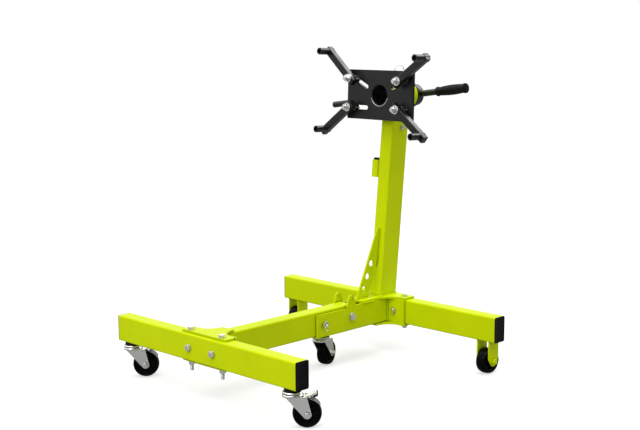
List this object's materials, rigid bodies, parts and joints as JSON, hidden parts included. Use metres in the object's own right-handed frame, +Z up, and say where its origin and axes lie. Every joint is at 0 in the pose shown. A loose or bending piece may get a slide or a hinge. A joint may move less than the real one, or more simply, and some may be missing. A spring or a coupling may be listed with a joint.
{
  "type": "engine stand",
  "caption": "Folding engine stand with a T-shaped base on wheels, a leaning mast and a rotating plate with slotted adjustable mounting arms.",
  "frame": {"origin": "on the floor, under the centre of the stand's outline seen from above", "axes": "+X to the stand's right seen from the arms' side, +Y from the arms towards the turning bar, +Z up"},
  "size_m": [0.87, 0.8978, 0.9367],
  "materials": {
    "lime_powder_coat": "gloss",
    "black_powder_coat": "satin",
    "zinc_plate": "bright zinc",
    "bare_steel": "machined",
    "black_plastic": "fine moulded texture",
    "black_wheel": "satin moulded",
    "grip_rubber": "matt ribbed"
  },
  "bodies": {
    "base": {"rear_channel": "lime_powder_coat", "rear_bracket": "lime_powder_coat", "rear_beam": "lime_powder_coat", "rear_beam_plugs": "black_plastic", "rear_face_bolts": "zinc_plate", "rear_deck_bolts": "zinc_plate", "pivot_bolt": "zinc_plate", "fold_pin_boss": "lime_powder_coat", "centre_caster_mount": "zinc_plate", "rear_left_bracket": "lime_powder_coat", "rear_right_bracket": "lime_powder_coat", "rear_left_axle": "lime_powder_coat", "rear_right_axle": "lime_powder_coat", "mast": "lime_powder_coat", "mast_gusset": "lime_powder_coat", "mast_side_screw": "zinc_plate", "storage_tube": "lime_powder_coat", "storage_plug": "black_plastic", "head_collar": "lime_powder_coat", "index_housing": "zinc_plate", "index_spring": "bare_steel"},
    "front_frame": {"front_beam": "lime_powder_coat", "front_beam_plugs": "black_plastic", "centre_beam": "lime_powder_coat", "pivot_sleeve": "bare_steel", "front_bracket": "lime_powder_coat", "front_face_bolts": "zinc_plate", "front_deck_bolts": "zinc_plate", "front_left_caster_mount": "zinc_plate", "front_right_caster_mount": "zinc_plate"},
    "fold_pin": {"fold_pin": "zinc_plate", "fold_pin_ring": "zinc_plate"},
    "front_left_caster": {"front_left_fork": "zinc_plate", "front_left_axle": "zinc_plate"},
    "front_left_wheel": {"front_left_wheel": "black_wheel"},
    "front_left_brake": {"front_left_brake": "zinc_plate"},
    "front_right_caster": {"front_right_fork": "zinc_plate", "front_right_axle": "zinc_plate"},
    "front_right_wheel": {"front_right_wheel": "black_wheel"},
    "front_right_brake": {"front_right_brake": "zinc_plate"},
    "centre_caster": {"centre_fork": "zinc_plate", "centre_axle": "zinc_plate"},
    "centre_wheel": {"centre_wheel": "black_wheel"},
    "rear_left_wheel": {"rear_left_wheel": "black_wheel"},
    "rear_right_wheel": {"rear_right_wheel": "black_wheel"},
    "head": {"spin_tube": "black_powder_coat", "stop_ring": "black_powder_coat", "face_plate": "black_powder_coat"},
    "index_pin": {"index_pin": "zinc_plate", "index_ring": "zinc_plate"},
    "turning_bar": {"turning_bar": "black_powder_coat", "bar_grip": "grip_rubber"},
    "upper_left_bolt": {"upper_left_bolt": "zinc_plate"},
    "upper_left_arm": {"upper_left_arm": "black_powder_coat"},
    "lower_left_bolt": {"lower_left_bolt": "zinc_plate"},
    "lower_left_arm": {"lower_left_arm": "black_powder_coat"},
    "upper_right_bolt": {"upper_right_bolt": "zinc_plate"},
    "upper_right_arm": {"upper_right_arm": "black_powder_coat"},
    "lower_right_bolt": {"lower_right_bolt": "zinc_plate"},
    "lower_right_arm": {"lower_right_arm": "black_powder_coat"}
  },
  "joints": [
    {"name": "fold", "type": "hinge", "parent": "base", "child": "front_frame", "pos_m": [0, 0.12345, 0.1405], "axis": [-1, 0, 0], "range_deg": [0, 90]},
    {"name": "fold_pin_pull", "type": "slide", "parent": "base", "child": "fold_pin", "axis": [1, 0, 0], "range_m": [-0.005, 0.04]},
    {"name": "front_left_swivel", "type": "hinge", "parent": "front_frame", "child": "front_left_caster", "pos_m": [-0.33, -0.41705, 0.06], "axis": [0, 0, 1], "continuous": true},
    {"name": "front_left_roll", "type": "hinge", "parent": "front_left_caster", "child": "front_left_wheel", "pos_m": [-0.30384, -0.39089, 0.0375], "axis": [-0.7071, 0.7071, 0], "continuous": true},
    {"name": "front_left_brake_press", "type": "hinge", "parent": "front_left_caster", "child": "front_left_brake", "pos_m": [-0.30879, -0.39584, 0.079], "axis": [-0.7071, 0.7071, 0], "range_deg": [0, 12]},
    {"name": "front_right_swivel", "type": "hinge", "parent": "front_frame", "child": "front_right_caster", "pos_m": [0.33, -0.41705, 0.06], "axis": [0, 0, 1], "continuous": true},
    {"name": "front_right_roll", "type": "hinge", "parent": "front_right_caster", "child": "front_right_wheel", "pos_m": [0.35616, -0.39089, 0.0375], "axis": [-0.7071, 0.7071, 0], "continuous": true},
    {"name": "front_right_brake_press", "type": "hinge", "parent": "front_right_caster", "child": "front_right_brake", "pos_m": [0.35121, -0.39584, 0.079], "axis": [-0.7071, 0.7071, 0], "range_deg": [0, 12]},
    {"name": "centre_swivel", "type": "hinge", "parent": "base", "child": "centre_caster", "pos_m": [0, 0.02245, 0.06], "axis": [0, 0, 1], "continuous": true},
    {"name": "centre_roll", "type": "hinge", "parent": "centre_caster", "child": "centre_wheel", "pos_m": [-0.01265, 0.05722, 0.0375], "axis": [-0.9397, -0.342, 0], "continuous": true},
    {"name": "rear_left_roll", "type": "hinge", "parent": "base", "child": "rear_left_wheel", "pos_m": [-0.392, 0.31295, 0.0375], "axis": [1, 0, 0], "continuous": true},
    {"name": "rear_right_roll", "type": "hinge", "parent": "base", "child": "rear_right_wheel", "pos_m": [0.392, 0.31295, 0.0375], "axis": [1, 0, 0], "continuous": true},
    {"name": "head_spin", "type": "hinge", "parent": "base", "child": "head", "pos_m": [0, 0.3579, 0.78971], "axis": [0, 0.9994, -0.0349], "continuous": true},
    {"name": "index_pin_drop", "type": "slide", "parent": "base", "child": "index_pin", "axis": [0, -0.0349, -0.9994], "range_m": [0, 0.0046]},
    {"name": "bar_slide", "type": "slide", "parent": "head", "child": "turning_bar", "axis": [0.9912, 0.0046, 0.1322], "range_m": [-0.055, 0.28]},
    {"name": "upper_left_slot_slide", "type": "slide", "parent": "head", "child": "upper_left_bolt", "axis": [-0.8949, 0.0156, 0.4459], "range_m": [-0.0536, 0.0028]},
    {"name": "upper_left_arm_swing", "type": "hinge", "parent": "upper_left_bolt", "child": "upper_left_arm", "pos_m": [-0.102, 0.27965, 0.84127], "axis": [0, 0.9994, -0.0349], "range_deg": [-30, 30]},
    {"name": "lower_left_slot_slide", "type": "slide", "parent": "head", "child": "lower_left_bolt", "axis": [-1, 0, 0], "range_m": [-0.05, 0.0005]},
    {"name": "lower_left_arm_swing", "type": "hinge", "parent": "lower_left_bolt", "child": "lower_left_arm", "pos_m": [-0.104, 0.27658, 0.75312], "axis": [0, 0.9994, -0.0349], "range_deg": [-30, 30]},
    {"name": "upper_right_slot_slide", "type": "slide", "parent": "head", "child": "upper_right_bolt", "axis": [0.8949, 0.0156, 0.4459], "range_m": [-0.0441, 0.0123]},
    {"name": "upper_right_arm_swing", "type": "hinge", "parent": "upper_right_bolt", "child": "upper_right_arm", "pos_m": [0.0935, 0.27951, 0.83703], "axis": [0, 0.9994, -0.0349], "range_deg": [-30, 30]},
    {"name": "lower_right_slot_slide", "type": "slide", "parent": "head", "child": "lower_right_bolt", "axis": [1, 0, 0], "range_m": [-0.036, 0.0145]},
    {"name": "lower_right_arm_swing", "type": "hinge", "parent": "lower_right_bolt", "child": "lower_right_arm", "pos_m": [0.09, 0.27658, 0.75312], "axis": [0, 0.9994, -0.0349], "range_deg": [-30, 30]}
  ]
}
